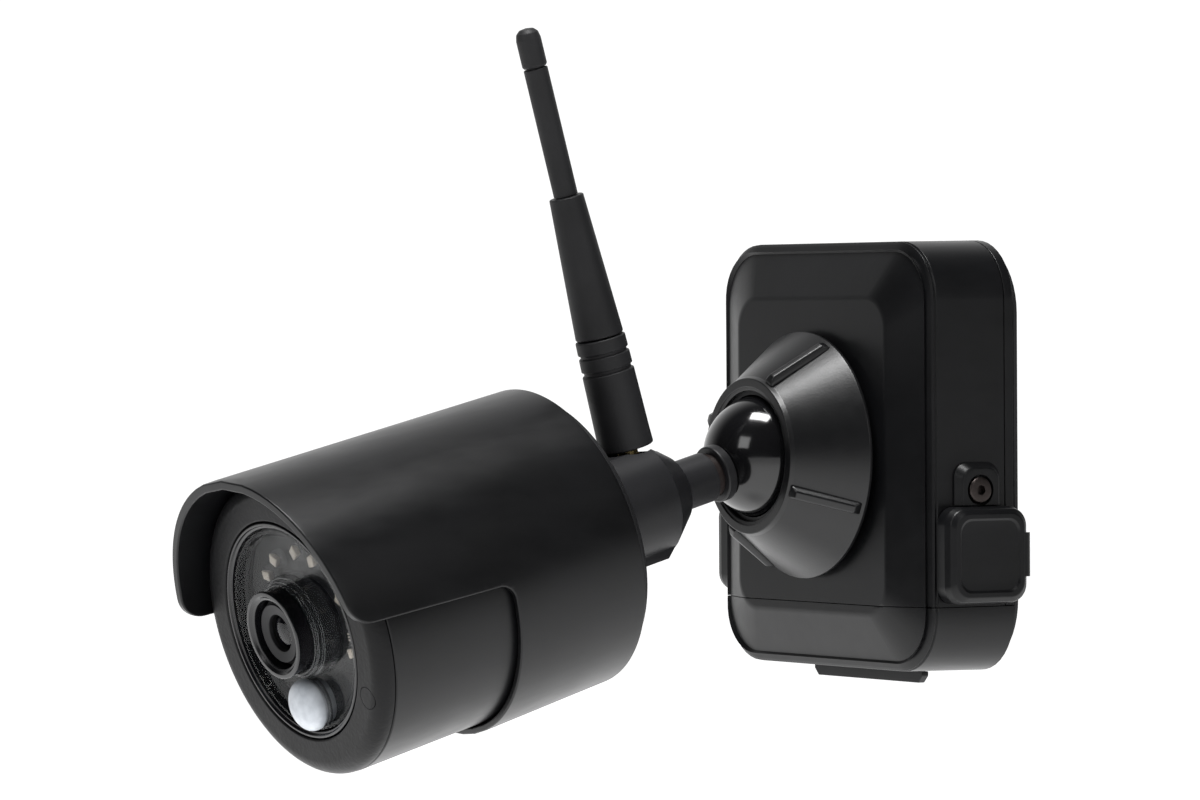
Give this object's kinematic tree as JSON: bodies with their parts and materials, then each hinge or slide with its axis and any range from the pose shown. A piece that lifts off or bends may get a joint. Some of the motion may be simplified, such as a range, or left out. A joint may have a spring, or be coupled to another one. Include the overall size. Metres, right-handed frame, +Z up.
{
  "type": "security camera",
  "caption": "Wall-held outdoor bullet camera: sunshaded barrel with lens, infrared lamps and motion sensor, whip antenna, clamped ball joint and battery pack base.",
  "frame": {"origin": "centre of the wall bracket's back face, where it lies on the wall", "axes": "+Y points into the wall, -Y is the way the camera faces, +Z is up, +X is to the right seen from the front"},
  "size_m": [0.109, 0.2058, 0.1821],
  "materials": {
    "pack_black": "satin moulded plastic, very fine grain",
    "bracket_black": "matt moulded plastic",
    "collar_black": "satin plastic with a fine leather-like grain",
    "ball_gloss": "polished black plastic",
    "neck_black": "satin moulded plastic",
    "shell_black": "smooth satin plastic",
    "bezel_black": "coarse moulded grain",
    "lens_black": "semi-gloss black",
    "clear_cover": "clear moulded polycarbonate",
    "led_clear": "water-clear domed lamp over a pale reflector cup",
    "pir_white": "milky white polyethylene lens",
    "antenna_rubber": "matt thermoplastic rubber",
    "gasket_rubber": "soft black rubber",
    "screw_steel": "bright steel",
    "connector_brass": "turned brass",
    "board_green": "solder-masked circuit board",
    "board_dark": "black solder-masked board",
    "battery_wrap": "shrink-wrapped battery"
  },
  "bodies": {
    "power_pack": {"wall_bracket": "bracket_black", "pack_back_cover": "bracket_black", "pack_front_housing": "pack_black", "pack_gasket": "gasket_rubber", "socket_base": "bracket_black", "battery_left": "battery_wrap", "battery_right": "battery_wrap", "contact_board": "board_green", "latch_pin_right": "screw_steel", "latch_pin_left": "screw_steel", "lock_screw": "screw_steel"},
    "battery_door": {"battery_door": "pack_black"},
    "door_latch": {"door_latch": "pack_black"},
    "latch_right": {"latch_right": "pack_black"},
    "latch_left": {"latch_left": "pack_black"},
    "pressure_ring": {"pressure_ring": "collar_black"},
    "clamp_collar": {"clamp_collar": "collar_black"},
    "swivel_cup": {"friction_cup": "gasket_rubber"},
    "ball_stud": {"ball_stud": "ball_gloss", "neck_lock_ring": "neck_black", "neck_sleeve": "neck_black"},
    "camera": {"rear_boss": "neck_black", "rear_cap": "shell_black", "sunshade_shell": "shell_black", "inner_housing": "shell_black", "front_bezel": "bezel_black", "bezel_plug": "bezel_black", "cover_ring": "lens_black", "cover_lens": "clear_cover", "lens_collar": "clear_cover", "lens_hood": "lens_black", "lens_barrel": "lens_black", "lens_ring": "lens_black", "lens_glass": "clear_cover", "led_board": "board_dark", "ir_led_1": "led_clear", "ir_led_2": "led_clear", "ir_led_3": "led_clear", "ir_led_4": "led_clear", "ir_led_5": "led_clear", "ir_led_6": "led_clear", "ir_led_7": "led_clear", "ir_led_8": "led_clear", "light_sensor": "clear_cover", "pir_dome": "pir_white", "pir_sensor": "screw_steel", "sensor_board": "board_green", "main_board": "board_green", "antenna_connector": "connector_brass"},
    "antenna": {"antenna_base": "antenna_rubber", "antenna_sleeve": "antenna_rubber", "antenna_whip": "antenna_rubber", "antenna_cap": "antenna_rubber"}
  },
  "joints": [
    {"name": "pressure_slide", "type": "slide", "parent": "power_pack", "child": "pressure_ring", "axis": [0, -1, 0], "range_m": [0, 0.002]},
    {"name": "collar_turn", "type": "hinge", "parent": "pressure_ring", "child": "clamp_collar", "pos_m": [0, -0.0449, 0], "axis": [0, -1, 0], "range_deg": [0, 360]},
    {"name": "ball_pan", "type": "hinge", "parent": "power_pack", "child": "swivel_cup", "pos_m": [0, -0.0449, 0], "axis": [0, 0, 1], "range_deg": [-33, 26]},
    {"name": "ball_tilt", "type": "hinge", "parent": "swivel_cup", "child": "ball_stud", "pos_m": [0, -0.0449, 0], "axis": [0.9984, 0.0558, 0], "range_deg": [-43, 12]},
    {"name": "barrel_roll", "type": "hinge", "parent": "ball_stud", "child": "camera", "pos_m": [0, -0.0449, 0], "axis": [0.0538, -0.9631, -0.2639], "range_deg": [-90, 90]},
    {"name": "antenna_turn", "type": "hinge", "parent": "camera", "child": "antenna", "pos_m": [0.00219, -0.08748, 0.00275], "axis": [0.0008, -0.2642, 0.9645], "continuous": true},
    {"name": "latch_right_swing", "type": "hinge", "parent": "power_pack", "child": "latch_right", "pos_m": [0.0523, -0.0024, -0.0245], "axis": [0, 0, 1], "range_deg": [0, 90]},
    {"name": "latch_left_swing", "type": "hinge", "parent": "power_pack", "child": "latch_left", "pos_m": [-0.0523, -0.0024, -0.0245], "axis": [0, 0, -1], "range_deg": [0, 90]},
    {"name": "battery_door_slide", "type": "slide", "parent": "power_pack", "child": "battery_door", "axis": [0, 0, -1], "range_m": [0, 0.045]},
    {"name": "door_latch_slide", "type": "slide", "parent": "battery_door", "child": "door_latch", "axis": [0, -1, 0], "range_m": [0, 0.003], "stiffness_N_per_m": 300}
  ],
  "couplings": [
    {"joint": "pressure_slide", "follows": "collar_turn", "m_per_rad": 0.000318}
  ]
}
